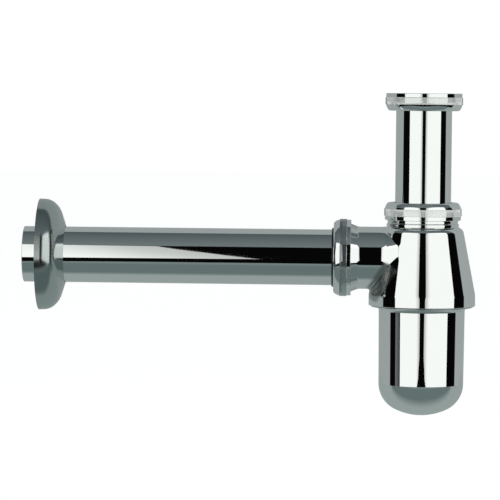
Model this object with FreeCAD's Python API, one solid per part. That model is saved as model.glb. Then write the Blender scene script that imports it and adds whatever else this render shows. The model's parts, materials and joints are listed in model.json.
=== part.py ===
import FreeCAD, Part
import math
import os

Vector = FreeCAD.Vector

# Chrome bottle trap, in millimetres.
# The origin is the centre of the inlet nut's mouth, +Z is up and the wall tube leaves along -X.

# Tubes
TUBE_R = 16.0
TUBE_WALL = 1.0
TUBE_EDGE = 0.25
OUTLET_TUBE_LENGTH = 200.0
FLANGE_THICKNESS = 1.0

# Pipe thread of the three union nuts: its crest stands this far outside the tube
THREAD_STANDOFF = 4.955
THREAD_DEPTH = 1.479

# Union nut, the same form three times
NUT_HEIGHT = 10.0
NUT_WALL = 0.8
NUT_RIM_HEIGHT = 2.3
NUT_BAND_RISE = 0.35
NUT_CROWN_HEIGHT = 4.5
NUT_SHOULDER_R = 8.5
NUT_EDGE_R = 1.8
NUT_LIP = 1.5
NUT_THREAD_LENGTH = 5.6
NUT_CHAMFER = 0.3
NUT_RIM_ROUND = 0.25

# Seals and rings inside the nuts
WASHER_THICKNESS = 1.6
WASHER_HOLE_INSET = 0.4
RING_THICKNESS = 1.5
RING_LIP_WALL = 0.75
RING_LIP_REACH = 1.0
RING_FACE_GAP = 0.1
SEAL_HEIGHT = 4.6

# Neck of the body, with two turned rings under the nut
INLET_DROP = 62.5
SPIGOT_GAP = 0.2
COLLAR_GAP = 0.3
COLLAR_HEIGHT = 3.3
COLLAR_STEP = 0.75
COLLAR_FLARE = 0.5
COLLAR_GROOVE = 0.35
SEAT_DEPTH = 4.0
SEAT_RISE = 1.9

# Bell
BELL_SHOULDER_DROP = 2.2
BELL_SHOULDER_STEP = 2.55
BELL_SHOULDER_ROUND = 5.0
BELL_WALL = 2.2
BELL_BAND_HEIGHT = 6.4
BELL_BAND_ROUND = 8.0
BELL_RIM_ROUND = 0.4
BELL_BELOW_BRANCH = 9.23
CEILING_DROP = 1.5
CEILING_ROUND = 1.6
SEAT_RING_HEIGHT = 3.2
SEAT_RING_RUN = 2.0

# Side branch
BRANCH_WALL = 1.47
BRANCH_COVER = 0.63
BRANCH_REACH = 14.5
BRANCH_FLARE = 4.2
ROOT_START_INSET = 4.4
ROOT_END_INSET = 12.5
ROOT_SLOPE_DEG = 27.5
ROOT_BEND_ROUND = 6.0
ROOT_FILLET = 1.2
SOCKET_STOP_INSET = 1.4
STOP_LEDGE = 1.9
TUBE_STOP_GAP = 4.2

# Cup
CUP_WATERWAY = 7.2
CUP_WALL = 1.5
CUP_DEPTH = 44.5
CUP_DRAFT = 0.35
CUP_KNUCKLE_R = 16.5
CUP_CROWN_R = 34.3
CUP_FLARE_R = 3.9
CUP_FLANGE_EDGE = 0.45
CUP_FLANGE_ROUND = 0.2
CUP_FLANGE_INSET = 1.4
CUP_SPIGOT_WALL = 3.35
CUP_THREAD_DEPTH = 1.35
CUP_THREAD_LENGTH = 9.0
CUP_RIM_GAP = 0.3
SKIRT_WALL = 2.65
GASKET_THICKNESS = 1.3
DIP_CLEARANCE = 20.4

# Wall flange
ROSETTE_WIDTH = 15.7
ROSETTE_DEPTH = 14.9
ROSETTE_SHEET = 0.9
ROSETTE_SKIRT_HEIGHT = 6.3
ROSETTE_SKIRT_DRAFT = 0.3
ROSETTE_SHOULDER_R = 9.0
ROSETTE_FRONT_WIDTH = 10.9
ROSETTE_FRONT_DROP = 3.6
ROSETTE_CROWN_R = 12.0
TUBE_BEYOND_ROSETTE = 8.9

# Clearances
TUBE_PASS = 0.4
LIP_PASS = 0.3
ROSETTE_PASS = 0.3
RING_PASS = 0.2
RING_BORE_PASS = 0.15
SEAL_PASS = 0.05
GASKET_PASS = 0.6

# Radii that follow
thread_r = TUBE_R + THREAD_STANDOFF
root_r = thread_r - THREAD_DEPTH
ring_r = root_r - RING_PASS
rim_r = thread_r + NUT_WALL
band_r = rim_r + NUT_BAND_RISE
ring_lip_r = TUBE_R + RING_BORE_PASS + RING_LIP_WALL
bore_r = TUBE_R + TUBE_PASS
seat_r = bore_r + SEAT_RISE
collar_r = root_r + COLLAR_STEP
bell_top_r = collar_r + COLLAR_FLARE
shoulder_r = bell_top_r + BELL_SHOULDER_STEP
branch_r = bore_r + BRANCH_WALL
stop_r = bore_r - STOP_LEDGE
cup_bore_r = TUBE_R + CUP_WATERWAY
cup_r = cup_bore_r + CUP_WALL
spigot_r = cup_bore_r + CUP_SPIGOT_WALL
skirt_thread_r = spigot_r + CUP_THREAD_DEPTH
bell_r = skirt_thread_r + SKIRT_WALL
gasket_r = skirt_thread_r - GASKET_PASS
cup_flange_r = bell_r - CUP_FLANGE_INSET
rosette_hole_r = TUBE_R + ROSETTE_PASS
rosette_r = rosette_hole_r + ROSETTE_WIDTH

# Heights that follow, from the inlet mouth down
lip_inner = NUT_HEIGHT - NUT_LIP
flange_z = RING_FACE_GAP - lip_inner + FLANGE_THICKNESS
neck_mouth_z = -INLET_DROP - NUT_HEIGHT
spigot_end = NUT_THREAD_LENGTH - SPIGOT_GAP
collar_z = neck_mouth_z - COLLAR_GAP
bell_top_z = collar_z - COLLAR_HEIGHT
outlet_z = bell_top_z - BRANCH_COVER - branch_r
bell_rim_z = outlet_z - branch_r - BELL_BELOW_BRANCH
gasket_z = bell_rim_z + CUP_THREAD_LENGTH
cup_top_z = gasket_z - GASKET_THICKNESS - RING_FACE_GAP
cup_flange_z = bell_rim_z - CUP_RIM_GAP
cup_wall_z = cup_flange_z - CUP_DEPTH
shoulder_z = bell_top_z - BELL_SHOULDER_DROP
band_z = bell_rim_z + BELL_BAND_HEIGHT


def bell_radius(z):
    """Outside radius of the bell's cone at a height."""
    share = (shoulder_z - z) / (shoulder_z - band_z)
    return shoulder_r + share * (bell_r - shoulder_r)


# Places along the wall tube that follow
outlet_mouth_x = -(bell_radius(outlet_z) + BRANCH_REACH)
stop_x = -(bell_radius(outlet_z) - SOCKET_STOP_INSET)
outlet_tube_x = stop_x - TUBE_STOP_GAP
outlet_end_x = outlet_tube_x - OUTLET_TUBE_LENGTH
rosette_x = outlet_end_x + TUBE_BEYOND_ROSETTE

UP = Vector(0, 0, 1)
DOWN = Vector(0, 0, -1)
TO_WALL = Vector(-1, 0, 0)
FROM_WALL = Vector(1, 0, 0)
ALONG_Y = Vector(0, 1, 0)
HALF_SHARE = 0.49


def section_point(radius, height):
    """Point of a turned outline, in the XZ plane."""
    return Vector(radius, 0, height)


def path(*corners):
    """Edges of an open outline through (radius, height, rounding) corners; rounding may be left out."""
    points = [section_point(corner[0], corner[1]) for corner in corners]
    edges = []
    start = points[0]
    for index in range(1, len(points) - 1):
        rounding = corners[index][2] if len(corners[index]) > 2 else 0
        corner = points[index]
        before = points[index - 1] - corner
        after = points[index + 1] - corner
        if rounding:
            half_angle = before.getAngle(after) / 2
            longest_reach = HALF_SHARE * min(before.Length, after.Length)
            reach = min(rounding / math.tan(half_angle), longest_reach)
            radius = reach * math.tan(half_angle)
            before.normalize()
            after.normalize()
            inward = (before + after).normalize()
            first = corner + before * reach
            middle = corner + inward * (radius / math.sin(half_angle) - radius)
            last = corner + after * reach
            edges.append(Part.makeLine(start, first))
            edges.append(Part.Arc(first, middle, last).toShape())
            start = last
        else:
            edges.append(Part.makeLine(start, corner))
            start = corner
    edges.append(Part.makeLine(start, points[-1]))
    return edges


def arc(center_r, center_z, radius, start_deg, end_deg):
    """Arc of an outline about a centre, with angles from the outward radius towards +Z."""
    points = []
    for angle_deg in (start_deg, (start_deg + end_deg) / 2, end_deg):
        angle = math.radians(angle_deg)
        outward = center_r + radius * math.cos(angle)
        points.append(section_point(outward, center_z + radius * math.sin(angle)))
    return Part.Arc(*points).toShape()


def turned(edges):
    """Solid of revolution about Z from the edges of a closed outline."""
    return Part.Face(Part.Wire(edges)).revolve(Vector(0, 0, 0), UP, 360)


def placed(shape, direction, origin):
    """Points a shape that was made along +Z in a direction and moves it to an origin."""
    shape.Placement = FreeCAD.Placement(origin, FreeCAD.Rotation(UP, direction))
    return shape


# Pieces of the unions, each made with the nut's mouth at height 0 and its lip above

def union_nut(hole_r):
    """Union nut with a rim, a raised band, a rounded shoulder and a lip with a hole."""
    crown_center_r = band_r - NUT_SHOULDER_R
    edge_z = NUT_HEIGHT - NUT_EDGE_R
    edge_offset = NUT_SHOULDER_R - NUT_EDGE_R
    edge_center_r = crown_center_r + math.sqrt(edge_offset ** 2 - (edge_z - NUT_CROWN_HEIGHT) ** 2)
    meet_deg = math.degrees(math.atan2(edge_z - NUT_CROWN_HEIGHT, edge_center_r - crown_center_r))
    outside = path(
        (thread_r + NUT_CHAMFER, 0),
        (rim_r, 0, NUT_RIM_ROUND),
        (rim_r, NUT_RIM_HEIGHT),
        (band_r, NUT_RIM_HEIGHT + NUT_BAND_RISE),
        (band_r, NUT_CROWN_HEIGHT),
    )
    shoulder = [
        arc(crown_center_r, NUT_CROWN_HEIGHT, NUT_SHOULDER_R, 0, meet_deg),
        arc(edge_center_r, edge_z, NUT_EDGE_R, meet_deg, 90),
    ]
    inside = path(
        (edge_center_r, NUT_HEIGHT),
        (hole_r, NUT_HEIGHT),
        (hole_r, lip_inner),
        (root_r, lip_inner),
        (root_r, NUT_THREAD_LENGTH),
        (thread_r, NUT_THREAD_LENGTH),
        (thread_r, NUT_CHAMFER),
        (thread_r + NUT_CHAMFER, 0),
    )
    return turned(outside + shoulder + inside)


def slip_ring(lip_top):
    """Hard ring under a nut's lip, with a thin lip of its own that lines the nut's hole."""
    hole_r = TUBE_R + RING_BORE_PASS
    top = lip_inner - RING_FACE_GAP
    bottom = top - RING_THICKNESS
    return turned(path(
        (hole_r, bottom),
        (ring_r, bottom),
        (ring_r, top),
        (ring_lip_r, top),
        (ring_lip_r, lip_top),
        (hole_r, lip_top),
        (hole_r, bottom),
    ))


def tapered_seal():
    """Rubber seal whose cone lies in the conical seat of a threaded end."""
    hole_r = TUBE_R + SEAL_PASS
    top = lip_inner - RING_FACE_GAP - RING_THICKNESS - RING_FACE_GAP
    slope = SEAT_RISE / SEAT_DEPTH
    cone_top_r = seat_r - SEAL_PASS
    toe_z = top - SEAL_HEIGHT
    toe_r = cone_top_r - (spigot_end - toe_z) * slope
    return turned(path(
        (hole_r, toe_z),
        (toe_r, toe_z),
        (cone_top_r, spigot_end),
        (cone_top_r, top),
        (hole_r, top),
        (hole_r, toe_z),
    ))


def threaded_end_bore(bore_depth):
    """Hollow of a threaded end: its conical seat, then the straight bore below."""
    seat_bottom = spigot_end - SEAT_DEPTH
    return turned(path(
        (0, spigot_end),
        (seat_r, spigot_end),
        (bore_r, seat_bottom),
        (bore_r, -bore_depth),
        (0, -bore_depth),
        (0, spigot_end),
    ))


# Main pieces

def inlet_tube():
    """Flanged tube that hangs from the inlet nut and dips into the cup."""
    inner_r = TUBE_R - TUBE_WALL
    bottom = cup_inner_bottom() + DIP_CLEARANCE
    return turned(path(
        (inner_r, bottom + TUBE_EDGE),
        (inner_r + TUBE_EDGE, bottom),
        (TUBE_R - TUBE_EDGE, bottom),
        (TUBE_R, bottom + TUBE_EDGE),
        (TUBE_R, flange_z - FLANGE_THICKNESS, LIP_PASS),
        (ring_r, flange_z - FLANGE_THICKNESS),
        (ring_r, flange_z),
        (inner_r, flange_z, TUBE_WALL),
        (inner_r, bottom + TUBE_EDGE),
    ))


def inlet_washer():
    """Flat washer on the inlet tube's flange."""
    hole_r = TUBE_R - WASHER_HOLE_INSET
    top = flange_z + WASHER_THICKNESS
    return turned(path(
        (hole_r, flange_z),
        (ring_r, flange_z),
        (ring_r, top),
        (hole_r, top),
        (hole_r, flange_z),
    ))


def trap_body():
    """Bell with its threaded neck, ringed collar, side branch and screwed skirt, cast as one."""
    return bell_with_branch().cut(bell_cavity()).cut(branch_hollow())


def bell_with_branch():
    """Outside of the body, filled, with the branch blended into the bell."""
    groove_z = (collar_z + bell_top_z) / 2
    bell = turned(path(
        (0, neck_mouth_z + spigot_end),
        (root_r, neck_mouth_z + spigot_end, NUT_CHAMFER),
        (root_r, collar_z),
        (collar_r, collar_z),
        (collar_r, groove_z + COLLAR_GROOVE),
        (collar_r - COLLAR_GROOVE, groove_z),
        (bell_top_r, groove_z - COLLAR_GROOVE),
        (bell_top_r, bell_top_z + COLLAR_GROOVE),
        (bell_top_r - COLLAR_GROOVE, bell_top_z),
        (bell_top_r, bell_top_z - COLLAR_GROOVE),
        (shoulder_r, shoulder_z, BELL_SHOULDER_ROUND),
        (bell_r, band_z, BELL_BAND_ROUND),
        (bell_r, bell_rim_z, BELL_RIM_ROUND),
        (0, bell_rim_z),
        (0, neck_mouth_z + spigot_end),
    ))
    casting = bell.fuse(branch()).Solids[0]
    return casting.makeFillet(ROOT_FILLET, junction_edges(casting))


def junction_edges(casting):
    """Curved edges along which the branch meets the bell, without those of the flat on its root."""
    round_and_straight = ("Part::GeomCircle", "Part::GeomLine")
    flats = [face for face in casting.Faces if face.Surface.TypeId == "Part::GeomPlane"]
    flat_edges = [edge for face in flats for edge in face.Edges]
    return [
        edge for edge in casting.Edges
        if edge.Curve.TypeId not in round_and_straight
        and not any(edge.isSame(flat_edge) for flat_edge in flat_edges)
    ]


def branch():
    """Outside of the side branch, filled: a root that widens into the bell, barrel and threaded end."""
    mouth = -outlet_mouth_x
    reach = bell_radius(outlet_z)
    bend = reach - ROOT_START_INSET
    root_end = reach - ROOT_END_INSET
    root_end_r = branch_r + (bend - root_end) * math.tan(math.radians(ROOT_SLOPE_DEG))
    widened = placed(turned(path(
        (0, root_end),
        (root_end_r, root_end),
        (branch_r, bend, ROOT_BEND_ROUND),
        (branch_r, mouth - BRANCH_FLARE, BRANCH_FLARE),
        (root_r, mouth),
        (root_r, mouth + spigot_end, NUT_CHAMFER),
        (0, mouth + spigot_end),
        (0, root_end),
    )), TO_WALL, Vector(0, 0, outlet_z))
    top_z = outlet_z + branch_r
    above = Part.makeBox(reach, 2 * root_end_r, root_end_r, Vector(-reach, -root_end_r, top_z))
    return widened.cut(above)


def bell_cavity():
    """Hollow of the body from the neck's seat to the screwed skirt."""
    ceiling_z = shoulder_z
    ceiling_r = bell_radius(ceiling_z - CEILING_DROP) - BELL_WALL
    ring_bore_r = (cup_bore_r + gasket_r) / 2
    ring_top_z = gasket_z + SEAT_RING_HEIGHT
    chamber = turned(path(
        (0, ceiling_z),
        (bore_r, ceiling_z),
        (ceiling_r, ceiling_z - CEILING_DROP, CEILING_ROUND),
        (bell_radius(ring_top_z + SEAT_RING_RUN) - BELL_WALL, ring_top_z + SEAT_RING_RUN),
        (ring_bore_r, ring_top_z),
        (ring_bore_r, gasket_z),
        (skirt_thread_r, gasket_z),
        (skirt_thread_r, bell_rim_z + NUT_CHAMFER),
        (skirt_thread_r + NUT_CHAMFER, bell_rim_z),
        (0, bell_rim_z),
        (0, ceiling_z),
    ))
    neck = placed(threaded_end_bore(neck_mouth_z - ceiling_z), UP, Vector(0, 0, neck_mouth_z))
    return chamber.fuse(neck)


def branch_hollow():
    """Hollow of the branch: conical seat, tube socket and the narrower way into the bell."""
    socket_depth = stop_x - outlet_mouth_x
    way_depth = -outlet_mouth_x - TUBE_R
    socket = threaded_end_bore(socket_depth)
    way = Part.makeCylinder(stop_r, way_depth, Vector(0, 0, -way_depth))
    return placed(socket.fuse(way), TO_WALL, Vector(outlet_mouth_x, 0, outlet_z))


def outlet_tube():
    """Straight wall tube."""
    inner_r = TUBE_R - TUBE_WALL
    top = OUTLET_TUBE_LENGTH
    tube = turned(path(
        (inner_r, 0),
        (TUBE_R - TUBE_EDGE, 0),
        (TUBE_R, TUBE_EDGE),
        (TUBE_R, top - TUBE_EDGE),
        (TUBE_R - TUBE_EDGE, top),
        (inner_r, top),
        (inner_r, 0),
    ))
    return placed(tube, TO_WALL, Vector(outlet_tube_x, 0, outlet_z))


def inner_corner(before, corner, after, sheet):
    """Inner corner of a pressed sheet, behind an outer (radius, height, rounding) corner."""
    incoming = section_point(*corner[:2]) - section_point(*before[:2])
    outgoing = section_point(*after[:2]) - section_point(*corner[:2])
    first = incoming.normalize().cross(ALONG_Y)
    second = outgoing.normalize().cross(ALONG_Y)
    inset = (first + second) * (sheet / (1 + first.dot(second)))
    return corner[0] + inset.x, corner[1] + inset.z, corner[2] - sheet


def wall_rosette():
    """Domed wall flange, pressed from sheet, with its rim against the wall and a crowned front."""
    rim = (rosette_r, 0)
    shoulder = (rosette_r - ROSETTE_SKIRT_DRAFT, ROSETTE_SKIRT_HEIGHT, ROSETTE_SHOULDER_R)
    crown = (rosette_hole_r + ROSETTE_FRONT_WIDTH, ROSETTE_DEPTH - ROSETTE_FRONT_DROP, ROSETTE_CROWN_R)
    hole = (rosette_hole_r, ROSETTE_DEPTH)
    inner_rim = (rosette_r - ROSETTE_SHEET, 0)
    shell = turned(path(
        inner_rim,
        rim,
        shoulder,
        crown,
        hole,
        (rosette_hole_r, ROSETTE_DEPTH - ROSETTE_SHEET),
        inner_corner(shoulder, crown, hole, ROSETTE_SHEET),
        inner_corner(rim, shoulder, crown, ROSETTE_SHEET),
        inner_rim,
    ))
    return placed(shell, FROM_WALL, Vector(rosette_x, 0, outlet_z))


def dished_bottom(wall_r, knuckle_r, crown_r):
    """Knuckle and crown arcs of a dished bottom, from the wall's end inwards, and its lowest height."""
    knuckle_center_r = wall_r - knuckle_r
    crown_rise = math.sqrt((crown_r - knuckle_r) ** 2 - knuckle_center_r ** 2)
    crown_z = cup_wall_z + crown_rise
    meet_deg = -math.degrees(math.atan2(crown_rise, knuckle_center_r))
    arcs = [
        arc(knuckle_center_r, cup_wall_z, knuckle_r, 0, meet_deg),
        arc(0, crown_z, crown_r, meet_deg, -90),
    ]
    return arcs, crown_z - crown_r


def cup_inner_bottom():
    """Lowest height inside the cup."""
    inner_end_r = cup_bore_r - CUP_DRAFT
    return dished_bottom(inner_end_r, CUP_KNUCKLE_R - CUP_WALL, CUP_CROWN_R - CUP_WALL)[1]


def cup():
    """Bottle cup with a threaded spigot, a flared flange and a dished bottom."""
    outer_end_r = cup_r - CUP_DRAFT
    inner_end_r = cup_bore_r - CUP_DRAFT
    outer_arcs, outer_bottom = dished_bottom(outer_end_r, CUP_KNUCKLE_R, CUP_CROWN_R)
    inner_arcs, inner_bottom = dished_bottom(inner_end_r, CUP_KNUCKLE_R - CUP_WALL, CUP_CROWN_R - CUP_WALL)
    flange_bottom = cup_flange_z - CUP_FLANGE_EDGE
    outside = path(
        (inner_end_r, cup_wall_z),
        (cup_bore_r, cup_flange_z),
        (cup_bore_r, cup_top_z, NUT_CHAMFER),
        (spigot_r, cup_top_z, NUT_CHAMFER),
        (spigot_r, cup_flange_z),
        (cup_flange_r, cup_flange_z, CUP_FLANGE_ROUND),
        (cup_flange_r, flange_bottom, CUP_FLANGE_ROUND),
        (cup_r, flange_bottom, CUP_FLARE_R),
        (outer_end_r, cup_wall_z),
    )
    axis_line = path((0, outer_bottom), (0, inner_bottom))
    inner_back = [edge.reversed() for edge in reversed(inner_arcs)]
    return turned(outside + outer_arcs + axis_line + inner_back)


def cup_gasket():
    """Flat gasket between the cup's rim and the bell's inner shoulder."""
    inner_r = cup_bore_r + GASKET_PASS
    bottom = gasket_z - GASKET_THICKNESS
    return turned(path(
        (inner_r, bottom),
        (gasket_r, bottom),
        (gasket_r, gasket_z),
        (inner_r, gasket_z),
        (inner_r, bottom),
    ))


def parts():
    """Every piece of the trap by name, at rest."""
    mouth = Vector(0, 0, 0)
    neck_mouth = Vector(0, 0, neck_mouth_z)
    outlet_mouth = Vector(outlet_mouth_x, 0, outlet_z)
    ring_hole_r = ring_lip_r + LIP_PASS
    return {
        "inlet_nut": placed(union_nut(TUBE_R + TUBE_PASS), DOWN, mouth),
        "inlet_washer": inlet_washer(),
        "inlet_tube": inlet_tube(),
        "neck_nut": placed(union_nut(ring_hole_r), UP, neck_mouth),
        "neck_slip_ring": placed(slip_ring(NUT_HEIGHT), UP, neck_mouth),
        "neck_seal": placed(tapered_seal(), UP, neck_mouth),
        "trap_body": trap_body(),
        "outlet_nut": placed(union_nut(ring_hole_r), TO_WALL, outlet_mouth),
        "outlet_slip_ring": placed(slip_ring(NUT_HEIGHT + RING_LIP_REACH), TO_WALL, outlet_mouth),
        "outlet_seal": placed(tapered_seal(), TO_WALL, outlet_mouth),
        "outlet_tube": outlet_tube(),
        "wall_rosette": wall_rosette(),
        "cup": cup(),
        "cup_gasket": cup_gasket(),
    }


os.makedirs("parts", exist_ok=True)
for name, shape in parts().items():
    shape.exportStep("parts/" + name + ".step")
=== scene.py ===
"""Visual model of a chrome bottle trap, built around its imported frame.

Lengths are in metres and angles in degrees. Every piece keeps the frame's own axes: the origin is the
centre of the inlet nut's mouth, +Z is up, the wall tube leaves along -X and the camera stands at -Y.
"""

from __future__ import annotations

import json
import logging
import math
from dataclasses import dataclass
from enum import Enum

import bpy
from mathutils import Matrix, Vector

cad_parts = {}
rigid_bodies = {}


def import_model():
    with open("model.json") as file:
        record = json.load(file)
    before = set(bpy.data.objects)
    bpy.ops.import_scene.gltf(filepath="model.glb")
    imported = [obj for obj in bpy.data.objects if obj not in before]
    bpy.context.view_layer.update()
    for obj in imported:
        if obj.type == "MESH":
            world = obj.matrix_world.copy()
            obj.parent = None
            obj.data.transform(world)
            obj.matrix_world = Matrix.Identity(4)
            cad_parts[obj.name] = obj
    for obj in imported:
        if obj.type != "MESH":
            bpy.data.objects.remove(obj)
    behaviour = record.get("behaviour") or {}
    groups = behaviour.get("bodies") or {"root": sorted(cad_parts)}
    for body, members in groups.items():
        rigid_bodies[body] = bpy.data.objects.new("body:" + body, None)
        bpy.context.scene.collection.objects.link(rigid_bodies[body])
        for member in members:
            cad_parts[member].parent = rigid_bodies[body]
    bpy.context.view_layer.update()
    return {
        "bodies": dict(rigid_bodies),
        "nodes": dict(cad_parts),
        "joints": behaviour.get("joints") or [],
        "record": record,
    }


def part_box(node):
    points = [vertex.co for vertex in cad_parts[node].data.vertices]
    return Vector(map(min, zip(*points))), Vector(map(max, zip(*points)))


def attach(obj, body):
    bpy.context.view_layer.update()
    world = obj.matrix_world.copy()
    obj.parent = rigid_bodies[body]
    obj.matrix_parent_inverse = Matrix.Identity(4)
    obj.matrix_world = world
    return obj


LOG = logging.getLogger("bottle_trap")
MM_PER_METRE = 1000.0
HALF_TURN = 180.0
QUARTER_TURN = 90.0
BODY = "trap_body"

Colour = tuple[float, float, float]
Point = tuple[float, float, float]

WHITE: Colour = (1.0, 1.0, 1.0)
BLACK: Colour = (0.0, 0.0, 0.0)


class Heading(Enum):
    """Direction in which a piece is built from its own foot."""

    UP = (0.0, 0.0, 1.0)
    DOWN = (0.0, 0.0, -1.0)
    TO_WALL = (-1.0, 0.0, 0.0)
    FROM_WALL = (1.0, 0.0, 0.0)

    def vector(self) -> Vector:
        """The heading as a vector."""
        return Vector(self.value)

    def matrix(self, foot: Vector) -> Matrix:
        """Placement of a piece that was built along +Z from the origin.

        Args:
            foot: Where the piece's own origin goes.

        Returns:
            The rotation to this heading, then the move to the foot.
        """
        turn = Vector((0.0, 0.0, 1.0)).rotation_difference(self.vector())
        return Matrix.Translation(foot) @ turn.to_matrix().to_4x4()


class ThreadSide(Enum):
    """Which wall a thread's ridge stands on."""

    OUTSIDE = 1.0
    INSIDE = -1.0


class NodeBench:
    """Adds and links nodes in one tree."""

    def __init__(self, tree: bpy.types.NodeTree) -> None:
        """Starts from an empty tree."""
        self.tree = tree
        self.tree.nodes.clear()

    def node(self, kind: str, inputs: dict | None = None, **settings: object) -> bpy.types.Node:
        """Adds one node.

        Args:
            kind: The node's type.
            inputs: Socket by name or number, each with a value or with a socket to link from.
            settings: Properties of the node itself.

        Returns:
            The new node.
        """
        made = self.tree.nodes.new(kind)
        for name, value in settings.items():
            setattr(made, name, value)
        for key, value in (inputs or {}).items():
            self.feed(made.inputs[key], value)
        return made

    def feed(self, socket: bpy.types.NodeSocket, value: object) -> None:
        """Links a socket to another one, or gives it a value of its own.

        Args:
            socket: The socket that is fed.
            value: A socket to link from, or a plain value. A colour has its three parts only.
        """
        if isinstance(value, bpy.types.NodeSocket):
            self.tree.links.new(value, socket)
        elif socket.type == "RGBA":
            socket.default_value = (*value, 1.0)
        else:
            socket.default_value = value

    def math(self, operation: str, first: object, second: object = 0.0) -> bpy.types.NodeSocket:
        """Result of a number operation on two values or sockets."""
        kind = "ShaderNodeMath"
        return self.node(kind, {0: first, 1: second}, operation=operation).outputs[0]

    def vector(self, operation: str, first: object, second: object = (0.0, 0.0, 0.0)) -> bpy.types.Node:
        """Node of a vector operation on two values or sockets."""
        return self.node("ShaderNodeVectorMath", {0: first, 1: second}, operation=operation)

    def ramp(self, value: object, low: float, high: float, start: float = 0.0, end: float = 1.0,
             kind: str = "SMOOTHSTEP") -> bpy.types.NodeSocket:
        """Moves a value's span onto another span, held at both ends.

        Args:
            value: The value or socket that is read.
            low: Where the span begins.
            high: Where the span ends.
            start: Result at and below the low end.
            end: Result at and above the high end.
            kind: How it goes between the two.

        Returns:
            The socket with the result.
        """
        sockets = {"Value": value, "From Min": low, "From Max": high, "To Min": start, "To Max": end}
        return self.node("ShaderNodeMapRange", sockets, interpolation_type=kind).outputs[0]

    def mix(self, share: object, first: object, second: object) -> bpy.types.NodeSocket:
        """Blends two colours.

        Args:
            share: How much of the second colour there is, from 0 to 1.
            first: The colour or socket at share 0.
            second: The colour or socket at share 1.

        Returns:
            The socket with the blend.
        """
        mixer = self.node("ShaderNodeMix", data_type="RGBA")
        for name, value in (("Factor_Float", share), ("A_Color", first), ("B_Color", second)):
            socket = next(item for item in mixer.inputs if item.identifier == name)
            self.feed(socket, value)
        return next(item for item in mixer.outputs if item.identifier == "Result_Color")


def new_material(name: str) -> tuple[bpy.types.Material, NodeBench, bpy.types.Node]:
    """A material with a single shader linked to its output.

    Args:
        name: The material's name.

    Returns:
        The material, its bench and its shader node.
    """
    material = bpy.data.materials.new(name)
    material.use_nodes = True
    bench = NodeBench(material.node_tree)
    shader = bench.node("ShaderNodeBsdfPrincipled")
    bench.node("ShaderNodeOutputMaterial", {"Surface": shader.outputs[0]})
    return material, bench, shader


@dataclass(frozen=True)
class BareInside:
    """Dull metal on the inside of a plated piece.

    The inside is where a face looks towards the piece's axis, or away from its closed end. It goes no
    nearer to +X than nearest_x.
    """

    heading: Heading
    axis_point: Point = (0.0, 0.0, 0.0)
    closed_end: Point = (0.0, 0.0, 0.0)
    nearest_x: float = 1.0
    fade: float = 0.001
    turned_away: float = -0.4
    turned_out: float = -0.2

    def share(self, bench: NodeBench, place: bpy.types.NodeSocket) -> bpy.types.NodeSocket:
        """Share of bare metal: 1 on the inside and 0 on the plated outside.

        Args:
            bench: Where the nodes go.
            place: The point on the piece.

        Returns:
            The socket with the share.
        """
        across = tuple(1.0 - abs(part) for part in self.heading.value)
        from_axis = bench.vector("SUBTRACT", place, self.axis_point).outputs[0]
        spoke = bench.vector("MULTIPLY", from_axis, across).outputs[0]
        outward = bench.vector("NORMALIZE", spoke).outputs[0]
        plated_side = bench.vector("ADD", outward, self.closed_end).outputs[0]
        normal = bench.node("ShaderNodeNewGeometry").outputs["Normal"]
        facing = bench.node("ShaderNodeVectorTransform", {0: normal}, vector_type="NORMAL",
                            convert_from="WORLD", convert_to="OBJECT").outputs[0]
        looks_out = bench.vector("DOT_PRODUCT", facing, plated_side).outputs["Value"]
        inside = bench.ramp(looks_out, self.turned_away, self.turned_out, 1.0, 0.0)
        along = bench.node("ShaderNodeSeparateXYZ", {0: place}).outputs["X"]
        in_reach = bench.ramp(along, self.nearest_x, self.nearest_x + self.fade, 1.0, 0.0)
        return bench.math("MULTIPLY", inside, in_reach)


@dataclass(frozen=True)
class ShadedValley:
    """Inner corner of a casting, through its whole depth: rougher plate that a polishing wheel doesn't
    reach, with painted shade.
    """

    middle: Point
    across: Point
    half_width: float = 0.0032
    half_length: float = 0.0105
    fade: float = 0.0025
    roughness: float = 0.2
    # painted shade: the darker colour laid into the valley
    tint: Colour = (0.42, 0.44, 0.435)

    def share(self, bench: NodeBench, place: bpy.types.NodeSocket) -> bpy.types.NodeSocket:
        """Share of rough plate and painted shade: 1 in the valley and 0 away from it.

        Args:
            bench: Where the nodes go.
            place: The point on the piece.

        Returns:
            The socket with the share.
        """
        flat = bench.vector("MULTIPLY", place, (1.0, 0.0, 1.0)).outputs[0]
        offset = bench.vector("SUBTRACT", flat, self.middle).outputs[0]
        sideways = bench.vector("DOT_PRODUCT", offset, self.across).outputs["Value"]
        aside = bench.math("ABSOLUTE", sideways)
        away = bench.vector("LENGTH", offset).outputs["Value"]
        narrow = bench.ramp(aside, self.half_width, self.half_width + self.fade, 1.0, 0.0)
        short = bench.ramp(away, self.half_length, self.half_length + self.fade, 1.0, 0.0)
        return bench.math("MULTIPLY", narrow, short)


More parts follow.
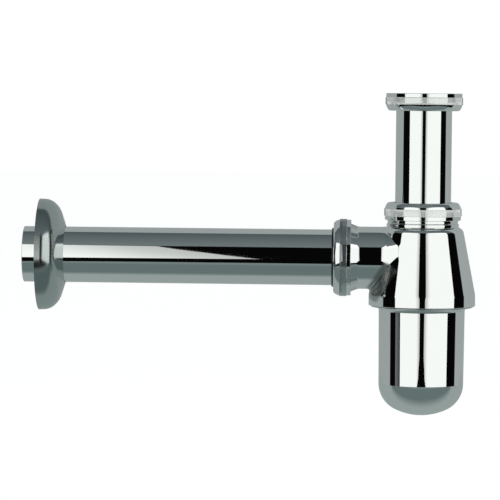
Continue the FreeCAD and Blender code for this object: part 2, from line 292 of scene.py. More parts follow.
@dataclass(frozen=True)
class ChromePlate:
    """Bright chrome with a faint haze and the slight swell of a polished casting or tube."""

    name: str
    insides: tuple[BareInside, ...] = ()
    tint: Colour = (0.885, 0.895, 0.89)
    bare_tint: Colour = (0.52, 0.50, 0.45)
    polish: float = 0.02
    haze: float = 0.015
    haze_scale: float = 70.0
    haze_detail: float = 4.0
    clear_below: float = 0.35
    hazy_above: float = 0.75
    bare_roughness: float = 0.38
    swell_scale: float = 24.0
    swell_height: float = 0.00003
    # inner corner with painted shade and rougher plate
    valley: ShadedValley | None = None

    def material(self) -> bpy.types.Material:
        """Builds the finish.

        Returns:
            The material.
        """
        material, bench, shader = new_material(self.name)
        place = bench.node("ShaderNodeTexCoord").outputs["Object"]
        cloud = bench.node("ShaderNodeTexNoise", {
            "Vector": place, "Scale": self.haze_scale, "Detail": self.haze_detail})
        hazy = self.polish + self.haze
        rough = bench.ramp(cloud.outputs[0], self.clear_below, self.hazy_above, self.polish, hazy)
        tone = self.tint
        # valley: painted shade that darkens the tone, and rougher plate
        if self.valley:
            rough_and_shaded = self.valley.share(bench, place)
            tone = bench.mix(rough_and_shaded, tone, self.valley.tint)
            rough = bench.math("ADD", rough, bench.math("MULTIPLY", rough_and_shaded, self.valley.roughness))
        if self.insides:
            bare = self.bare_share(bench, place)
            tone = bench.mix(bare, tone, self.bare_tint)
            rough = bench.math("ADD", rough, bench.math("MULTIPLY", bare, self.bare_roughness))
        bench.feed(shader.inputs["Base Color"], tone)
        bench.feed(shader.inputs["Roughness"], rough)
        bench.feed(shader.inputs["Metallic"], 1.0)
        swell = bench.node("ShaderNodeTexNoise", {"Vector": place, "Scale": self.swell_scale})
        bump = bench.node("ShaderNodeBump", {"Height": swell.outputs[0], "Distance": self.swell_height})
        bench.feed(shader.inputs["Normal"], bump.outputs[0])
        return material

    def bare_share(self, bench: NodeBench, place: bpy.types.NodeSocket) -> bpy.types.NodeSocket:
        """Share of bare metal over all the insides of the piece.

        Args:
            bench: Where the nodes go.
            place: The point on the piece.

        Returns:
            The socket with the share.
        """
        shares = [inside.share(bench, place) for inside in self.insides]
        bare = shares[0]
        for share in shares[1:]:
            bare = bench.math("MAXIMUM", bare, share)
        return bare


@dataclass(frozen=True)
class SoftBlack:
    """Black rubber or hard plastic with a faint mottle."""

    name: str
    tint: Colour
    mottle: Colour
    roughness: float
    grain_scale: float = 900.0

    def material(self) -> bpy.types.Material:
        """Builds the finish.

        Returns:
            The material.
        """
        material, bench, shader = new_material(self.name)
        place = bench.node("ShaderNodeTexCoord").outputs["Object"]
        grain = bench.node("ShaderNodeTexNoise", {"Vector": place, "Scale": self.grain_scale})
        bench.feed(shader.inputs["Base Color"], bench.mix(grain.outputs[0], self.tint, self.mottle))
        bench.feed(shader.inputs["Roughness"], self.roughness)
        return material


RUBBER = SoftBlack("seal_rubber_black", tint=(0.012, 0.012, 0.012), mottle=(0.02, 0.02, 0.02),
                   roughness=0.55)
PLASTIC = SoftBlack("ring_plastic_black", tint=(0.008, 0.008, 0.009), mottle=(0.014, 0.014, 0.015),
                    roughness=0.35)


class GrowTree:
    """Geometry node tree with named inputs that makes one piece from nothing."""

    def __init__(self, name: str) -> None:
        """Starts a tree with one geometry output and a material input.

        Args:
            name: The tree's name.
        """
        self.tree = bpy.data.node_groups.new(name, "GeometryNodeTree")
        self.bench = NodeBench(self.tree)
        self.sockets: dict[str, bpy.types.NodeTreeInterfaceSocket] = {}
        self.tree.interface.new_socket("Geometry", in_out="OUTPUT", socket_type="NodeSocketGeometry")
        self.add_input("Material", "NodeSocketMaterial")

    def add_input(self, name: str, kind: str = "NodeSocketFloat") -> None:
        """Adds a named input."""
        self.sockets[name] = self.tree.interface.new_socket(name, in_out="INPUT", socket_type=kind)

    def close(self, source: bpy.types.Node, grown: bpy.types.NodeSocket) -> None:
        """Realizes, smooths and dresses the geometry, and ends the tree.

        Args:
            source: The tree's group input.
            grown: The geometry that was made.
        """
        real = self.bench.node("GeometryNodeRealizeInstances", {"Geometry": grown})
        smooth = self.bench.node("GeometryNodeSetShadeSmooth", {"Geometry": real.outputs[0]})
        sockets = {"Geometry": smooth.outputs[0], "Material": source.outputs["Material"]}
        dressed = self.bench.node("GeometryNodeSetMaterial", sockets)
        self.bench.node("NodeGroupOutput", {0: dressed.outputs[0]})

    def grow(self, name: str, values: dict[str, object], placement: Matrix) -> bpy.types.Object:
        """Makes a plain mesh piece with this tree.

        Args:
            name: The piece's name.
            values: A value for each named input.
            placement: Where the piece goes in the frame.

        Returns:
            The piece, with its place in its mesh.
        """
        seed = bpy.data.meshes.new(name + "_seed")
        piece = bpy.data.objects.new(name, seed)
        bpy.context.scene.collection.objects.link(piece)
        modifier = piece.modifiers.new("grow", "NODES")
        modifier.node_group = self.tree
        for key, value in values.items():
            modifier[self.sockets[key].identifier] = value
        graph = bpy.context.evaluated_depsgraph_get()
        grown = bpy.data.meshes.new_from_object(piece.evaluated_get(graph), depsgraph=graph)
        piece.modifiers.clear()
        piece.data = grown
        bpy.data.meshes.remove(seed)
        grown.name = name
        grown.transform(placement)
        return piece


class KnurlTree(GrowTree):
    """Ring of fine straight ridges around +Z."""

    ROUND_POINTS = 10
    LENGTH_POINTS = 6
    END_SHARE = 0.2
    END_SIZE = 0.35

    def __init__(self) -> None:
        """Builds the tree."""
        super().__init__("straight_knurl")
        self.add_input("Ridges", "NodeSocketInt")
        for name in ("Radius", "Foot", "Length", "Half Width", "Half Depth"):
            self.add_input(name)
        source = self.bench.node("NodeGroupInput")
        ring = self.bench.node("GeometryNodeMeshCircle", {
            "Vertices": source.outputs["Ridges"], "Radius": source.outputs["Radius"]})
        step = self.bench.math("DIVIDE", 2.0 * math.pi, source.outputs["Ridges"])
        turn = self.bench.math("MULTIPLY", self.bench.node("GeometryNodeInputIndex").outputs[0], step)
        euler = self.bench.node("ShaderNodeCombineXYZ", {"Z": turn})
        rotation = self.bench.node("FunctionNodeEulerToRotation", {0: euler.outputs[0]})
        copies = self.bench.node("GeometryNodeInstanceOnPoints", {
            "Points": ring.outputs[0], "Instance": self.ridge(source), "Rotation": rotation.outputs[0]})
        self.close(source, copies.outputs[0])

    def ridge(self, source: bpy.types.Node) -> bpy.types.NodeSocket:
        """One ridge along +Z with a rounded back, which sinks away at both ends.

        Args:
            source: The tree's group input.

        Returns:
            The ridge's mesh.
        """
        bench = self.bench
        top = bench.math("ADD", source.outputs["Foot"], source.outputs["Length"])
        low = bench.node("ShaderNodeCombineXYZ", {"Z": source.outputs["Foot"]})
        high = bench.node("ShaderNodeCombineXYZ", {"Z": top})
        line = bench.node("GeometryNodeCurvePrimitiveLine", {
            "Start": low.outputs[0], "End": high.outputs[0]})
        spine = bench.node("GeometryNodeResampleCurve", {"Curve": line.outputs[0]})
        bench.feed(spine.inputs["Count"], self.LENGTH_POINTS)
        share = bench.node("GeometryNodeSplineParameter").outputs["Factor"]
        rise = bench.ramp(share, 0.0, self.END_SHARE)
        fall = bench.ramp(share, 1.0 - self.END_SHARE, 1.0, 1.0, 0.0)
        swell = bench.math("MULTIPLY", rise, fall)
        size = bench.ramp(swell, 0.0, 1.0, self.END_SIZE, 1.0, "LINEAR")
        bar = bench.node("GeometryNodeSetCurveRadius", {"Curve": spine.outputs[0], "Radius": size})
        round_bar = bench.node("GeometryNodeCurvePrimitiveCircle", {
            "Resolution": self.ROUND_POINTS, "Radius": 1.0})
        form = bench.node("ShaderNodeCombineXYZ", {
            "X": source.outputs["Half Depth"], "Y": source.outputs["Half Width"], "Z": 1.0})
        oval_bar = bench.node("GeometryNodeTransform", {
            "Geometry": round_bar.outputs[0], "Scale": form.outputs[0]})
        swept = bench.node("GeometryNodeCurveToMesh", {
            "Curve": bar.outputs[0], "Profile Curve": oval_bar.outputs[0], "Fill Caps": True})
        return swept.outputs[0]


class ThreadTree(GrowTree):
    """Right-hand helical ridge around +Z, which runs out into its wall at both ends."""

    POINTS_PER_TURN = 96
    RUN_OUT = 0.12
    SMALLEST = 0.05

    def __init__(self) -> None:
        """Builds the tree."""
        super().__init__("pipe_thread")
        for name in ("Radius", "Pitch", "Turns", "Foot", "Base", "Crest", "Depth", "Facing"):
            self.add_input(name)
        bench = self.bench
        source = bench.node("NodeGroupInput")
        rise = bench.math("MULTIPLY", source.outputs["Pitch"], source.outputs["Turns"])
        helix = bench.node("GeometryNodeCurveSpiral", {
            "Resolution": self.POINTS_PER_TURN, "Rotations": source.outputs["Turns"],
            "Start Radius": source.outputs["Radius"], "End Radius": source.outputs["Radius"],
            "Height": rise, "Reverse": True})
        level = bench.node("GeometryNodeSetCurveNormal", {"Curve": helix.outputs[0]}, mode="Z_UP")
        share = bench.node("GeometryNodeSplineParameter").outputs["Factor"]
        run_in = bench.ramp(share, 0.0, self.RUN_OUT)
        run_out = bench.ramp(share, 1.0 - self.RUN_OUT, 1.0, 1.0, 0.0)
        size = bench.math("MAXIMUM", bench.math("MULTIPLY", run_in, run_out), self.SMALLEST)
        tapered = bench.node("GeometryNodeSetCurveRadius", {"Curve": level.outputs[0], "Radius": size})
        swept = bench.node("GeometryNodeCurveToMesh", {
            "Curve": tapered.outputs[0], "Profile Curve": self.section(source), "Fill Caps": True})
        foot = bench.node("ShaderNodeCombineXYZ", {"Z": source.outputs["Foot"]})
        lifted = bench.node("GeometryNodeTransform", {
            "Geometry": swept.outputs[0], "Translation": foot.outputs[0]})
        self.close(source, lifted.outputs[0])

    def section(self, source: bpy.types.Node) -> bpy.types.NodeSocket:
        """Trapezoid that stands with its base on the helix and its crest away from the wall.

        Args:
            source: The tree's group input.

        Returns:
            The section's curve.
        """
        bench = self.bench
        outline = bench.node("GeometryNodeCurvePrimitiveQuadrilateral", {
            "Bottom Width": source.outputs["Base"], "Top Width": source.outputs["Crest"],
            "Height": source.outputs["Depth"], "Offset": 0.0}, mode="TRAPEZOID")
        half = bench.math("DIVIDE", source.outputs["Depth"], 2.0)
        lift = bench.node("ShaderNodeCombineXYZ", {"Y": half})
        standing = bench.node("GeometryNodeTransform", {
            "Geometry": outline.outputs[0], "Translation": lift.outputs[0]})
        turn = bench.node("ShaderNodeCombineXYZ", {"Z": source.outputs["Facing"]})
        facing = bench.node("GeometryNodeTransform", {
            "Geometry": standing.outputs[0], "Rotation": turn.outputs[0]})
        return facing.outputs[0]


class Bearing(Enum):
    """How a direction in the studio is measured."""

    ROUND = "round the vertical: 0 towards the camera, 90 towards +X"
    OVER = "over the wall tube: 0 towards the camera, 90 straight up"
    HEIGHT = "from the horizon: 0 level, 90 straight up"


@dataclass(frozen=True)
class RoomPanel:
    """Part of the studio's walls between two bearings, with a tone for each end."""

    bearing: Bearing
    low: float
    high: float
    start: Colour
    end: Colour
    edge: float = 1.0
    lowest: float = -95.0
    highest: float = 95.0
    level_edge: float = 1.0

    def paint(self, bench: NodeBench, measures: dict[Bearing, bpy.types.NodeSocket],
              under: object) -> bpy.types.NodeSocket:
        """Lays this panel over the ones before it.

        Args:
            bench: Where the nodes go.
            measures: Socket of each bearing.
            under: The tone before it, as a colour or a socket.

        Returns:
            The socket with the new tone.
        """
        turn = measures[self.bearing]
        height = measures[Bearing.HEIGHT]
        share = bench.math("MULTIPLY", self.above(bench, turn, self.low, self.edge),
                           self.below(bench, turn, self.high, self.edge))
        level = bench.math("MULTIPLY", self.above(bench, height, self.lowest, self.level_edge),
                           self.below(bench, height, self.highest, self.level_edge))
        tone = bench.mix(bench.ramp(turn, self.low, self.high, kind="LINEAR"), self.start, self.end)
        return bench.mix(bench.math("MULTIPLY", share, level), under, tone)

    def above(self, bench: NodeBench, angle: object, limit: float, edge: float) -> bpy.types.NodeSocket:
        """Share that goes from 0 to 1 as an angle passes a limit with a soft edge."""
        return bench.ramp(angle, limit - edge, limit + edge)

    def below(self, bench: NodeBench, angle: object, limit: float, edge: float) -> bpy.types.NodeSocket:
        """Share that goes from 1 to 0 as an angle passes a limit with a soft edge."""
        return bench.ramp(angle, limit - edge, limit + edge, 1.0, 0.0)


@dataclass(frozen=True)
class Softbox:
    """Upright softbox that dims towards its inner edge, beside the camera, and leans outwards."""

    name: str
    inner: tuple[float, float]
    outer: tuple[float, float]
    lean: float
    low: float = -0.388
    high: float = 1.044
    brightness: float = 1.06
    tint: Colour = (0.97, 1.0, 0.97)
    inner_share: float = 0.56
    dim_width: float = 0.2

    def add(self) -> None:
        """Adds the softbox as an area light that the camera doesn't see."""
        near = Vector((*self.inner, 0.0))
        far = Vector((*self.outer, 0.0))
        middle = (near + far) / 2.0
        middle.z = (self.low + self.high) / 2.0
        light = bpy.data.lights.new(self.name, "AREA")
        light.shape = "RECTANGLE"
        light.size = (far - near).length
        light.size_y = self.high - self.low
        light.energy = self.brightness * math.pi * light.size * light.size_y
        light.color = self.tint
        box = bpy.data.objects.new(self.name, light)
        bpy.context.scene.collection.objects.link(box)
        up = Vector((0.0, 0.0, 1.0))
        side = (far - near).normalized()
        back = side.cross(up)
        turned = back.dot(middle) < 0.0
        if turned:
            side = -side
            back = -back
        self.dim(light, turned)
        axes = Matrix((side, up, back)).transposed().to_4x4()
        lean = Matrix.Rotation(math.radians(self.lean), 4, "Z")
        box.matrix_world = Matrix.Translation(middle) @ axes @ lean
        box.visible_camera = False

    def dim(self, light: bpy.types.Light, inner_last: bool) -> None:
        """Lets the light fall off towards the softbox's inner edge.

        Args:
            light: The softbox's light.
            inner_last: Whether the light's own width ends at the inner edge, not starts there.
        """
        light.use_nodes = True
        bench = NodeBench(light.node_tree)
        place = bench.node("ShaderNodeNewGeometry").outputs["Parametric"]
        across = bench.node("ShaderNodeSeparateXYZ", {0: place}).outputs["X"]
        if inner_last:
            across = bench.math("SUBTRACT", 1.0, across)
        share = bench.ramp(across, 0.0, self.dim_width, self.inner_share, 1.0)
        glow = bench.node("ShaderNodeEmission", {"Strength": share})
        bench.node("ShaderNodeOutputLight", {"Surface": glow.outputs[0]})


@dataclass(frozen=True)
class TableCard:
    """Grey table close under the trap, which shows only in the chrome."""

    height: float = -0.204
    left: float = -0.33
    right: float = 0.33
    front: float = -0.25
    back: float = 0.35
    corner_r: float = 0.18
    corner_steps: int = 16
    lip_tone: Colour = (0.19, 0.24, 0.233)
    near_tone: Colour = (0.136, 0.182, 0.178)
    far_tone: Colour = (0.318, 0.37, 0.365)
    lip_end: float = -0.18
    lip_fade: float = 0.03
    far_start: float = -0.026
    far_fade: float = 0.018

    def add(self) -> None:
        """Adds the table as a card that glows in its own tones and that the camera doesn't see."""
        edge = self.edge()
        mesh = bpy.data.meshes.new("table_card")
        mesh.from_pydata(edge, [], [tuple(range(len(edge)))])
        table = bpy.data.objects.new("table_card", mesh)
        bpy.context.scene.collection.objects.link(table)
        mesh.materials.append(self.material())
        table.visible_camera = False
        table.visible_diffuse = False
        table.visible_shadow = False

    def edge(self) -> list[tuple[float, float, float]]:
        """Lists the table's edge, square at the back and rounded at its two front corners.

        Returns:
            The points of the edge, in order.
        """
        points = [(self.right, self.back, self.height), (self.left, self.back, self.height)]
        quarter = math.radians(QUARTER_TURN)
        for centre_x, start in ((self.left + self.corner_r, 2.0 * quarter),
                                (self.right - self.corner_r, 3.0 * quarter)):
            for step in range(self.corner_steps + 1):
                angle = start + quarter * step / self.corner_steps
                points.append((centre_x + self.corner_r * math.cos(angle),
                               self.front + self.corner_r * (1.0 + math.sin(angle)), self.height))
        return points

    def material(self) -> bpy.types.Material:
        """Builds the table's tones from its front lip to its far side.

        Returns:
            The material.
        """
        material, bench, shader = new_material("table_card")
        place = bench.node("ShaderNodeTexCoord").outputs["Object"]
        depth = bench.node("ShaderNodeSeparateXYZ", {0: place}).outputs["Y"]
        past_lip = bench.ramp(depth, self.lip_end - self.lip_fade, self.lip_end + self.lip_fade)
        past_near = bench.ramp(depth, self.far_start - self.far_fade, self.far_start + self.far_fade)
        tone = bench.mix(past_near, bench.mix(past_lip, self.lip_tone, self.near_tone), self.far_tone)
        bench.feed(shader.inputs["Base Color"], BLACK)
        bench.feed(shader.inputs["Specular IOR Level"], 0.0)
        bench.feed(shader.inputs["Emission Color"], tone)
        bench.feed(shader.inputs["Emission Strength"], 1.0)
        return material


@dataclass
class Studio:
    """Camera of the photograph, in a white room with two softboxes and a grey table."""

    camera_place: Point = (-0.0312, -1.7224, -0.0006)
    yaw: float = -2.256
    pitch: float = -3.0
    roll: float = 0.55
    lens: float = 216.0
    floor_height: float = -0.26
    floor_half: float = 8.0
    floor_tone: Colour = (0.3, 0.3, 0.3)
    floor_glow: float = 0.93
    unlit: Colour = (0.002, 0.002, 0.002)
    panels: tuple[RoomPanel, ...] = (
        RoomPanel(Bearing.ROUND, low=-200.0, high=-94.0,
                  start=(0.33, 0.37, 0.37), end=(0.35, 0.39, 0.385)),
        RoomPanel(Bearing.ROUND, low=103.0, high=200.0,
                  start=(0.37, 0.41, 0.405), end=(0.33, 0.37, 0.37)),
        RoomPanel(Bearing.ROUND, low=-75.0, high=-57.0,
                  start=(0.17, 0.18, 0.185), end=(0.015, 0.02, 0.02),
                  lowest=-20.0, highest=-4.75, level_edge=0.4),
        RoomPanel(Bearing.OVER, low=42.5, high=111.0,
                  start=(0.168, 0.198, 0.203), end=(0.077, 0.098, 0.104), lowest=28.0),
    )
    table: TableCard = TableCard()
    softboxes: tuple[Softbox, ...] = (
        Softbox("left_softbox", inner=(-0.211, -1.457), outer=(-1.242, -0.657), lean=6.8),
        Softbox("right_softbox", inner=(0.205, -1.457), outer=(1.345, -0.392), lean=-5.8),
    )

    def add_camera(self) -> None:
        """Adds the camera and makes it the scene's own."""
        data = bpy.data.cameras.new("photo_camera")
        data.lens = self.lens
        camera = bpy.data.objects.new("photo_camera", data)
        bpy.context.scene.collection.objects.link(camera)
        turn = Matrix.Rotation(math.radians(-self.yaw), 4, "Z")
        tilt = Matrix.Rotation(math.radians(QUARTER_TURN + self.pitch), 4, "X")
        lean = Matrix.Rotation(math.radians(self.roll), 4, "Z")
        camera.matrix_world = Matrix.Translation(self.camera_place) @ turn @ tilt @ lean
        bpy.context.scene.camera = camera

    def add_floor(self) -> None:
        """Adds a plain pale floor that is seen only from above."""
        half = self.floor_half
        corners = [(-half, -half), (half, -half), (half, half), (-half, half)]
        mesh = bpy.data.meshes.new("pale_floor")
        mesh.from_pydata([(x, y, self.floor_height) for x, y in corners], [], [(0, 1, 2, 3)])
        floor = bpy.data.objects.new("pale_floor", mesh)
        bpy.context.scene.collection.objects.link(floor)
        material, bench, shader = new_material("pale_floor")
        bench.feed(shader.inputs["Base Color"], self.floor_tone)
        bench.feed(shader.inputs["Roughness"], 1.0)
        bench.feed(shader.inputs["Specular IOR Level"], 0.0)
        bench.feed(shader.inputs["Emission Color"], WHITE)
        bench.feed(shader.inputs["Emission Strength"], self.floor_glow)
        clear = bench.node("ShaderNodeBsdfTransparent")
        from_below = bench.node("ShaderNodeNewGeometry").outputs["Backfacing"]
        seen = bench.node("ShaderNodeMixShader", {
            0: from_below, 1: shader.outputs[0], 2: clear.outputs[0]})
        output = next(node for node in bench.tree.nodes if node.type == "OUTPUT_MATERIAL")
        bench.feed(output.inputs["Surface"], seen.outputs[0])
        mesh.materials.append(material)
        floor.visible_glossy = False

    def add_room(self) -> None:
        """Paints the room that the chrome mirrors; the camera itself sees plain white."""
        world = bpy.data.worlds.new("white_studio")
        world.use_nodes = True
        bpy.context.scene.world = world
        bench = NodeBench(world.node_tree)
        place = bench.node("ShaderNodeTexCoord").outputs["Generated"]
        way = bench.node("ShaderNodeSeparateXYZ", {0: place})
        to_camera = bench.math("MULTIPLY", way.outputs["Y"], -1.0)
        measures = {
            Bearing.ROUND: bench.math("DEGREES", bench.math("ARCTAN2", way.outputs["X"], to_camera)),
            Bearing.OVER: bench.math("DEGREES", bench.math("ARCTAN2", way.outputs["Z"], to_camera)),
            Bearing.HEIGHT: bench.math("DEGREES", bench.math("ARCSINE", way.outputs["Z"])),
        }
        tone = self.unlit
        for panel in self.panels:
            tone = panel.paint(bench, measures, tone)
        direct = bench.node("ShaderNodeLightPath").outputs["Is Camera Ray"]
        seen = bench.mix(direct, tone, WHITE)
        glow = bench.node("ShaderNodeBackground", {"Color": seen, "Strength": 1.0})
        bench.node("ShaderNodeOutputWorld", {"Surface": glow.outputs[0]})

    def build(self) -> None:
        """Builds the whole studio."""
        self.add_camera()
        self.add_floor()
        self.add_room()
        self.table.add()
        for softbox in self.softboxes:
            softbox.add()
        bpy.context.scene.view_settings.view_transform = "Standard"
        LOG.info("studio with %d softboxes", len(self.softboxes))


@dataclass(frozen=True)
class ScrewThread:
    """Helical ridge on a round wall, in the frame of the union or screw that it belongs to."""

    wall: float
    depth: float
    pitch: float
    foot: float
    turns: float
    side: ThreadSide
    start: float = 0.0
    base_share: float = 0.5
    crest_share: float = 0.16
    sunk: float = 0.0001

    def values(self, material: bpy.types.Material) -> dict[str, object]:
        """Inputs of the thread's tree.

        Args:
            material: The ridge's finish.

        Returns:
            A value for each named input.
        """
        return {
            "Radius": self.wall - self.side.value * self.sunk, "Depth": self.depth + self.sunk,
            "Pitch": self.pitch, "Turns": self.turns, "Foot": self.foot,
            "Base": self.base_share * self.pitch, "Crest": self.crest_share * self.pitch,
            "Facing": -self.side.value * math.radians(QUARTER_TURN), "Material": material,
        }


class Trap:
    """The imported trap: its CAD nodes, and the ways in which they are dressed and added to."""

    def __init__(self, frame: dict) -> None:
        """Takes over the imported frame's nodes and mounts.

        Args:
            frame: What the frame's loader gives.
        """
        self.nodes = frame["nodes"]
        self.mounts = {mount["name"]: mount for mount in frame["record"]["mounts"]}
        self.knurls = KnurlTree()
        self.threads = ThreadTree()
        self.materials: dict[object, bpy.types.Material] = {}

    def material(self, finish: ChromePlate | SoftBlack) -> bpy.types.Material:
        """Material of a finish, made once.

        Args:
            finish: The finish.

        Returns:
            Its material.
        """
        if finish not in self.materials:
            self.materials[finish] = finish.material()
        return self.materials[finish]

    def dress(self, name: str, finish: ChromePlate | SoftBlack) -> None:
        """Gives a CAD node its finish through the object's own slots.

        Args:
            name: The CAD node.
            finish: What it wears.
        """
        for slot in self.nodes[name].material_slots:
            slot.link = "OBJECT"
            slot.material = self.material(finish)
        LOG.info("%s wears %s", name, finish.name)

    def middle(self, name: str) -> Vector:
        """Centre of a CAD node's box."""
        low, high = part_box(name)
        return (low + high) / 2.0

    def foot(self, name: str, heading: Heading) -> Vector:
        """Centre of the end at which a CAD node starts.

        Args:
            name: The CAD node.
            heading: The way in which it goes from that end.

        Returns:
            The end's centre.
        """
        low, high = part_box(name)
        way = heading.vector()
        return self.middle(name) - way * abs((high - low).dot(way)) / 2.0

    def attach(self, piece: bpy.types.Object, body: str) -> None:
        """Makes a new piece ride on a body.

        Args:
            piece: The new piece.
            body: The body that carries it.
        """
        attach(piece, body)
        LOG.info("%s has %d faces", piece.name, len(piece.data.polygons))

    def add_thread(self, name: str, body: str, thread: ScrewThread, placement: Matrix,
                   finish: ChromePlate) -> None:
        """Adds a thread's ridge to a body.

        Args:
            name: The new piece's name.
            body: The body that carries it.
            thread: Its form.
            placement: The frame of the union or screw.
            finish: What it wears.
        """
        turned = placement @ Matrix.Rotation(math.radians(thread.start), 4, "Z")
        piece = self.threads.grow(name, thread.values(self.material(finish)), turned)
        self.attach(piece, body)


@dataclass(frozen=True)
class UnionNut:
    """Knurled union nut: its CAD node, the ridges of its band and the thread inside it."""

    name: str
    heading: Heading
    pitch: float = 0.002309
    root_depth: float = 0.001479
    crest_gap: float = 0.00025
    thread_foot: float = 0.00075
    nut_turns: float = 1.9
    end_turns: float = 1.75
    ridges: int = 280
    ridge_foot: float = 0.0024
    ridge_length: float = 0.0040
    ridge_half_width: float = 0.00021
    ridge_half_depth: float = 0.0003
    ridge_sink: float = 0.0002
    polish: float = 0.05

    def placement(self, trap: Trap) -> Matrix:
        """Frame of the union, at the nut's open end."""
        return self.heading.matrix(trap.foot(self.name, self.heading))

    def crest_radius(self, trap: Trap) -> float:
        """Radius over the crests of the union's male thread."""
        return trap.mounts["inlet_union"]["dims"]["r_mm"] / MM_PER_METRE

    def inside_thread(self, trap: Trap) -> ScrewThread:
        """Thread inside the nut.

        Args:
            trap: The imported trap.

        Returns:
            The thread's form.
        """
        depth = self.root_depth - self.crest_gap
        wall = self.crest_radius(trap)
        return ScrewThread(wall, depth, self.pitch, self.thread_foot, self.nut_turns, ThreadSide.INSIDE)

    def end_thread(self, trap: Trap) -> ScrewThread:
        """Thread outside the end that the nut screws to, half a pitch from the nut's own.

        Args:
            trap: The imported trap.

        Returns:
            The thread's form.
        """
        depth = self.root_depth - self.crest_gap
        wall = self.crest_radius(trap) - self.root_depth
        side = ThreadSide.OUTSIDE
        return ScrewThread(wall, depth, self.pitch, self.thread_foot, self.end_turns, side, HALF_TURN)

    def build(self, trap: Trap) -> None:
        """Dresses the nut and adds its ridges and its thread.

        Args:
            trap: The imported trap.
        """
        inside = BareInside(self.heading, tuple(trap.middle(self.name)))
        chrome = ChromePlate(self.name + "_chrome", (inside,), polish=self.polish)
        trap.dress(self.name, chrome)
        low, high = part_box(self.name)
        band_radius = (high.y - low.y) / 2.0
        values = {
            "Ridges": self.ridges, "Radius": band_radius - self.ridge_sink, "Foot": self.ridge_foot,
            "Length": self.ridge_length, "Half Width": self.ridge_half_width,
            "Half Depth": self.ridge_half_depth, "Material": trap.material(chrome),
        }
        place = self.placement(trap)
        trap.attach(trap.knurls.grow(self.name + "_knurl", values, place), self.name)
        trap.add_thread(self.name + "_thread", self.name, self.inside_thread(trap), place, chrome)


@dataclass(frozen=True)
class InletRun:
    """Inlet union: its nut, its washer and the flanged tube that dips into the cup."""

    nut: UnionNut = UnionNut("inlet_nut", Heading.DOWN)
    tube: str = "inlet_tube"
    washer: str = "inlet_washer"

    def build(self, trap: Trap) -> None:
        """Builds the nut and dresses the tube and the washer.

        Args:
            trap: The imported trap.
        """
        self.nut.build(trap)
        trap.dress(self.tube, ChromePlate("inlet_tube_chrome", (BareInside(Heading.UP),)))
        trap.dress(self.washer, RUBBER)


@dataclass(frozen=True)
class SlipUnion:
    """Nut, slip ring and seal that clamp a tube in a threaded end of the body."""

    nut: UnionNut
    ring: str
    seal: str
    end_thread: str

    def build(self, trap: Trap) -> None:
        """Builds the nut, dresses the rings and adds the thread of the body's end.

        Args:
            trap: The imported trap.
        """
        self.nut.build(trap)
        trap.dress(self.ring, PLASTIC)
        trap.dress(self.seal, RUBBER)
        finish = ChromePlate(self.end_thread + "_chrome")
        place = self.nut.placement(trap)
        trap.add_thread(self.end_thread, BODY, self.nut.end_thread(trap), place, finish)


@dataclass(frozen=True)
class BellBody:
    """Cast bell with its neck and branch, and the thread inside its skirt."""

    branch_root_x: float = -0.025
    root_valley: Point = (-0.0242, 0.0, -0.1076)
    root_across: Point = (0.845, 0.0, -0.535)
    skirt_wall: float = 0.0279
    skirt_depth: float = 0.00055
    pitch: float = 0.002
    thread_foot: float = 0.0008
    thread_turns: float = 3.2

    def build(self, trap: Trap) -> None:
        """Dresses the body and adds the thread of its skirt.

        Args:
            trap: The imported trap.
        """
        branch_axis = tuple(trap.middle("outlet_tube"))
        bell_inside = BareInside(Heading.UP)
        branch_inside = BareInside(Heading.TO_WALL, branch_axis, nearest_x=self.branch_root_x)
        # painted shade and rougher plate in the inner corner at the branch's root
        root = ShadedValley(self.root_valley, self.root_across)
        chrome = ChromePlate("body_chrome", (bell_inside, branch_inside), valley=root)
        trap.dress(BODY, chrome)
        thread = ScrewThread(
            self.skirt_wall, self.skirt_depth, self.pitch, self.thread_foot, self.thread_turns,
            ThreadSide.INSIDE)
        trap.add_thread("skirt_thread", BODY, thread, self.placement(), chrome)

    def placement(self) -> Matrix:
        """Frame of the skirt's screw, at the middle of the bell's rim."""
        low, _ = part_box(BODY)
        return Heading.UP.matrix(Vector((0.0, 0.0, low.z)))


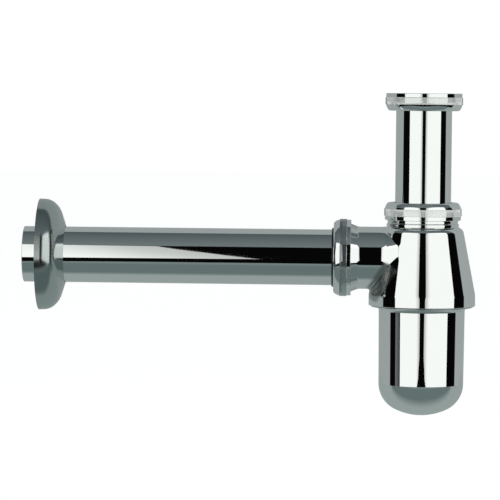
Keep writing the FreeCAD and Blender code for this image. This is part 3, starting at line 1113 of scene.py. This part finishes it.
@dataclass(frozen=True)
class WallRun:
    """Wall tube and the domed flange that slides on it."""

    tube: str = "outlet_tube"
    rosette: str = "wall_rosette"
    rosette_tint: Colour = (0.53, 0.575, 0.565)
    rosette_polish: float = 0.15
    rosette_haze: float = 0.06

    def build(self, trap: Trap) -> None:
        """Dresses the tube and the flange.

        Args:
            trap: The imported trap.
        """
        axis = tuple(trap.middle(self.tube))
        trap.dress(self.tube, ChromePlate("outlet_tube_chrome", (BareInside(Heading.TO_WALL, axis),)))
        behind = BareInside(Heading.TO_WALL, axis, Heading.FROM_WALL.value)
        pressed = ChromePlate("rosette_chrome", (behind,), self.rosette_tint,
                              polish=self.rosette_polish, haze=self.rosette_haze)
        trap.dress(self.rosette, pressed)


@dataclass(frozen=True)
class BottleCup:
    """Screwed cup with its thread and its gasket."""

    body: BellBody = BellBody()
    cup: str = "cup"
    gasket: str = "cup_gasket"
    spigot_wall: float = 0.02655
    thread_depth: float = 0.00105
    thread_turns: float = 2.9

    def build(self, trap: Trap) -> None:
        """Dresses the cup and the gasket, and adds the cup's thread.

        Args:
            trap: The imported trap.
        """
        inside = BareInside(Heading.UP, closed_end=Heading.DOWN.value)
        chrome = ChromePlate("cup_chrome", (inside,))
        trap.dress(self.cup, chrome)
        trap.dress(self.gasket, RUBBER)
        thread = ScrewThread(
            self.spigot_wall, self.thread_depth, self.body.pitch, self.body.thread_foot,
            self.thread_turns, ThreadSide.OUTSIDE, HALF_TURN)
        trap.add_thread("cup_thread", self.cup, thread, self.body.placement(), chrome)


def main() -> None:
    """Builds the studio, then the trap from the inlet down."""
    logging.basicConfig(level=logging.INFO, format="%(name)s: %(message)s")
    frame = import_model()
    Studio().build()
    trap = Trap(frame)
    neck = SlipUnion(UnionNut("neck_nut", Heading.UP), "neck_slip_ring", "neck_seal", "neck_thread")
    outlet_nut = UnionNut("outlet_nut", Heading.TO_WALL)
    outlet = SlipUnion(outlet_nut, "outlet_slip_ring", "outlet_seal", "branch_thread")
    for assembly in (InletRun(), neck, BellBody(), outlet, WallRun(), BottleCup()):
        assembly.build(trap)
        LOG.info("%s is built", type(assembly).__name__)


if __name__ == "__main__":
    main()
